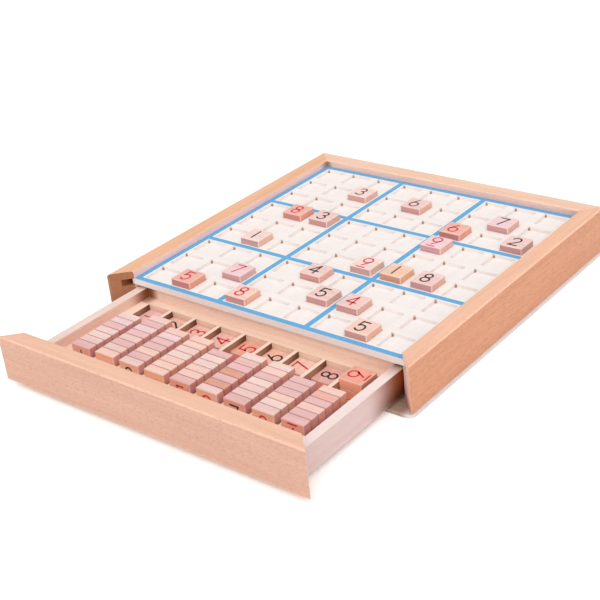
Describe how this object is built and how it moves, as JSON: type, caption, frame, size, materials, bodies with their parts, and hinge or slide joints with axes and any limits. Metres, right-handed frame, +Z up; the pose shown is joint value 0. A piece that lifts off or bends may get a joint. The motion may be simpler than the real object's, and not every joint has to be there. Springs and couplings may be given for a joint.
{
  "type": "sudoku board",
  "caption": "Wooden sudoku board: a mitred frame round a grid of tile cells, over a shallow drawer with channels that hold loose number tiles.",
  "frame": {"origin": "centre of the square base panel's underside", "axes": "+Z up, -Y towards the player, the way the drawer opens, +X to the player's right"},
  "size_m": [0.2534, 0.3495, 0.036],
  "materials": {
    "beech": "satin lacquered beech",
    "board_veneer": "pale plywood with printed blue lines",
    "board_core": "pale plywood",
    "base_ply": "pale plywood",
    "drawer_wood": "pale sanded wood",
    "tray_wood": "pale sanded wood",
    "tile_wood": "sanded hardwood with a printed digit"
  },
  "bodies": {
    "case": {"left_rail": "beech", "right_rail": "beech", "back_rail": "beech", "grid_sheet": "board_veneer", "backing_panel": "board_core", "base_panel": "base_ply"},
    "drawer": {"drawer_front": "beech", "drawer_left_side": "drawer_wood", "drawer_right_side": "drawer_wood", "drawer_back": "drawer_wood", "drawer_floor": "base_ply", "tile_tray": "tray_wood"},
    "board_tile_5_c2_r1": {"board_tile_5_c2_r1": "tile_wood"},
    "board_tile_8_c4_r1": {"board_tile_8_c4_r1": "tile_wood"},
    "board_tile_5_c8_r1": {"board_tile_5_c8_r1": "tile_wood"},
    "board_tile_7_c3_r2": {"board_tile_7_c3_r2": "tile_wood"},
    "board_tile_5_c6_r2": {"board_tile_5_c6_r2": "tile_wood"},
    "board_tile_4_c7_r2": {"board_tile_4_c7_r2": "tile_wood"},
    "board_tile_4_c5_r3": {"board_tile_4_c5_r3": "tile_wood"},
    "board_tile_1_c2_r4": {"board_tile_1_c2_r4": "tile_wood"},
    "board_tile_9_c6_r4": {"board_tile_9_c6_r4": "tile_wood"},
    "board_tile_1_c7_r4": {"board_tile_1_c7_r4": "tile_wood"},
    "board_tile_8_c8_r4": {"board_tile_8_c8_r4": "tile_wood"},
    "board_tile_8_c2_r6": {"board_tile_8_c2_r6": "tile_wood"},
    "board_tile_3_c3_r6": {"board_tile_3_c3_r6": "tile_wood"},
    "board_tile_9_c7_r6": {"board_tile_9_c7_r6": "tile_wood"},
    "board_tile_6_c7_r7": {"board_tile_6_c7_r7": "tile_wood"},
    "board_tile_2_c9_r7": {"board_tile_2_c9_r7": "tile_wood"},
    "board_tile_3_c3_r8": {"board_tile_3_c3_r8": "tile_wood"},
    "board_tile_6_c5_r8": {"board_tile_6_c5_r8": "tile_wood"},
    "board_tile_7_c8_r8": {"board_tile_7_c8_r8": "tile_wood"},
    "drawer_tile_1": {"drawer_tile_1": "tile_wood"},
    "drawer_tile_2": {"drawer_tile_2": "tile_wood"},
    "drawer_tile_3": {"drawer_tile_3": "tile_wood"},
    "drawer_tile_4": {"drawer_tile_4": "tile_wood"},
    "drawer_tile_5": {"drawer_tile_5": "tile_wood"},
    "drawer_tile_6": {"drawer_tile_6": "tile_wood"},
    "drawer_tile_7": {"drawer_tile_7": "tile_wood"},
    "drawer_tile_8": {"drawer_tile_8": "tile_wood"},
    "drawer_tile_9": {"drawer_tile_9": "tile_wood"},
    "drawer_tile_9_upper": {"drawer_tile_9_upper": "tile_wood"},
    "tile_row_1": {"tile_row_1": "tile_wood"},
    "tile_row_2": {"tile_row_2": "tile_wood"},
    "tile_row_3": {"tile_row_3": "tile_wood"},
    "tile_row_4": {"tile_row_4": "tile_wood"},
    "tile_row_5": {"tile_row_5": "tile_wood"},
    "tile_row_6": {"tile_row_6": "tile_wood"},
    "tile_row_7": {"tile_row_7": "tile_wood"},
    "tile_row_8": {"tile_row_8": "tile_wood"},
    "tile_row_9": {"tile_row_9": "tile_wood"}
  },
  "joints": [
    {"name": "drawer_slide", "type": "slide", "parent": "case", "child": "drawer", "axis": [0, -1, 0], "range_m": [-0.09685, 0]},
    {"name": "board_tile_5_c2_r1_lift", "type": "slide", "parent": "case", "child": "board_tile_5_c2_r1", "axis": [0, 0, 1], "range_m": [0, 0.034]},
    {"name": "board_tile_8_c4_r1_lift", "type": "slide", "parent": "case", "child": "board_tile_8_c4_r1", "axis": [0, 0, 1], "range_m": [0, 0.034]},
    {"name": "board_tile_5_c8_r1_lift", "type": "slide", "parent": "case", "child": "board_tile_5_c8_r1", "axis": [0, 0, 1], "range_m": [0, 0.034]},
    {"name": "board_tile_7_c3_r2_lift", "type": "slide", "parent": "case", "child": "board_tile_7_c3_r2", "axis": [0, 0, 1], "range_m": [0, 0.034]},
    {"name": "board_tile_5_c6_r2_lift", "type": "slide", "parent": "case", "child": "board_tile_5_c6_r2", "axis": [0, 0, 1], "range_m": [0, 0.034]},
    {"name": "board_tile_4_c7_r2_lift", "type": "slide", "parent": "case", "child": "board_tile_4_c7_r2", "axis": [0, 0, 1], "range_m": [0, 0.034]},
    {"name": "board_tile_4_c5_r3_lift", "type": "slide", "parent": "case", "child": "board_tile_4_c5_r3", "axis": [0, 0, 1], "range_m": [0, 0.034]},
    {"name": "board_tile_1_c2_r4_lift", "type": "slide", "parent": "case", "child": "board_tile_1_c2_r4", "axis": [0, 0, 1], "range_m": [0, 0.034]},
    {"name": "board_tile_9_c6_r4_lift", "type": "slide", "parent": "case", "child": "board_tile_9_c6_r4", "axis": [0, 0, 1], "range_m": [0, 0.034]},
    {"name": "board_tile_1_c7_r4_lift", "type": "slide", "parent": "case", "child": "board_tile_1_c7_r4", "axis": [0, 0, 1], "range_m": [0, 0.034]},
    {"name": "board_tile_8_c8_r4_lift", "type": "slide", "parent": "case", "child": "board_tile_8_c8_r4", "axis": [0, 0, 1], "range_m": [0, 0.034]},
    {"name": "board_tile_8_c2_r6_lift", "type": "slide", "parent": "case", "child": "board_tile_8_c2_r6", "axis": [0, 0, 1], "range_m": [0, 0.034]},
    {"name": "board_tile_3_c3_r6_lift", "type": "slide", "parent": "case", "child": "board_tile_3_c3_r6", "axis": [0, 0, 1], "range_m": [0, 0.034]},
    {"name": "board_tile_9_c7_r6_lift", "type": "slide", "parent": "case", "child": "board_tile_9_c7_r6", "axis": [0, 0, 1], "range_m": [0, 0.034]},
    {"name": "board_tile_6_c7_r7_lift", "type": "slide", "parent": "case", "child": "board_tile_6_c7_r7", "axis": [0, 0, 1], "range_m": [0, 0.034]},
    {"name": "board_tile_2_c9_r7_lift", "type": "slide", "parent": "case", "child": "board_tile_2_c9_r7", "axis": [0, 0, 1], "range_m": [0, 0.034]},
    {"name": "board_tile_3_c3_r8_lift", "type": "slide", "parent": "case", "child": "board_tile_3_c3_r8", "axis": [0, 0, 1], "range_m": [0, 0.034]},
    {"name": "board_tile_6_c5_r8_lift", "type": "slide", "parent": "case", "child": "board_tile_6_c5_r8", "axis": [0, 0, 1], "range_m": [0, 0.034]},
    {"name": "board_tile_7_c8_r8_lift", "type": "slide", "parent": "case", "child": "board_tile_7_c8_r8", "axis": [0, 0, 1], "range_m": [0, 0.034]},
    {"name": "drawer_tile_1_lift", "type": "slide", "parent": "drawer", "child": "drawer_tile_1", "axis": [0, 0, 1], "range_m": [0, 0.034]},
    {"name": "drawer_tile_2_lift", "type": "slide", "parent": "drawer", "child": "drawer_tile_2", "axis": [0, 0, 1], "range_m": [0, 0.034]},
    {"name": "drawer_tile_3_lift", "type": "slide", "parent": "drawer", "child": "drawer_tile_3", "axis": [0, 0, 1], "range_m": [0, 0.034]},
    {"name": "drawer_tile_4_lift", "type": "slide", "parent": "drawer", "child": "drawer_tile_4", "axis": [0, 0, 1], "range_m": [0, 0.034]},
    {"name": "drawer_tile_5_lift", "type": "slide", "parent": "drawer", "child": "drawer_tile_5", "axis": [0, 0, 1], "range_m": [0, 0.034]},
    {"name": "drawer_tile_6_lift", "type": "slide", "parent": "drawer", "child": "drawer_tile_6", "axis": [0, 0, 1], "range_m": [0, 0.034]},
    {"name": "drawer_tile_7_lift", "type": "slide", "parent": "drawer", "child": "drawer_tile_7", "axis": [0, 0, 1], "range_m": [0, 0.034]},
    {"name": "drawer_tile_8_lift", "type": "slide", "parent": "drawer", "child": "drawer_tile_8", "axis": [0, 0, 1], "range_m": [0, 0.034]},
    {"name": "drawer_tile_9_lift", "type": "slide", "parent": "drawer", "child": "drawer_tile_9", "axis": [0, 0, 1], "range_m": [0, 0.034]},
    {"name": "drawer_tile_9_upper_lift", "type": "slide", "parent": "drawer_tile_9", "child": "drawer_tile_9_upper", "axis": [0, 0, 1], "range_m": [0, 0.034]},
    {"name": "tile_row_1_lift", "type": "slide", "parent": "drawer", "child": "tile_row_1", "axis": [0, 0, 1], "range_m": [0, 0.034]},
    {"name": "tile_row_2_lift", "type": "slide", "parent": "drawer", "child": "tile_row_2", "axis": [0, 0, 1], "range_m": [0, 0.034]},
    {"name": "tile_row_3_lift", "type": "slide", "parent": "drawer", "child": "tile_row_3", "axis": [0, 0, 1], "range_m": [0, 0.034]},
    {"name": "tile_row_4_lift", "type": "slide", "parent": "drawer", "child": "tile_row_4", "axis": [0, 0, 1], "range_m": [0, 0.034]},
    {"name": "tile_row_5_lift", "type": "slide", "parent": "drawer", "child": "tile_row_5", "axis": [0, 0, 1], "range_m": [0, 0.034]},
    {"name": "tile_row_6_lift", "type": "slide", "parent": "drawer", "child": "tile_row_6", "axis": [0, 0, 1], "range_m": [0, 0.034]},
    {"name": "tile_row_7_lift", "type": "slide", "parent": "drawer", "child": "tile_row_7", "axis": [0, 0, 1], "range_m": [0, 0.034]},
    {"name": "tile_row_8_lift", "type": "slide", "parent": "drawer", "child": "tile_row_8", "axis": [0, 0, 1], "range_m": [0, 0.034]},
    {"name": "tile_row_9_lift", "type": "slide", "parent": "drawer", "child": "tile_row_9", "axis": [0, 0, 1], "range_m": [0, 0.034]}
  ]
}
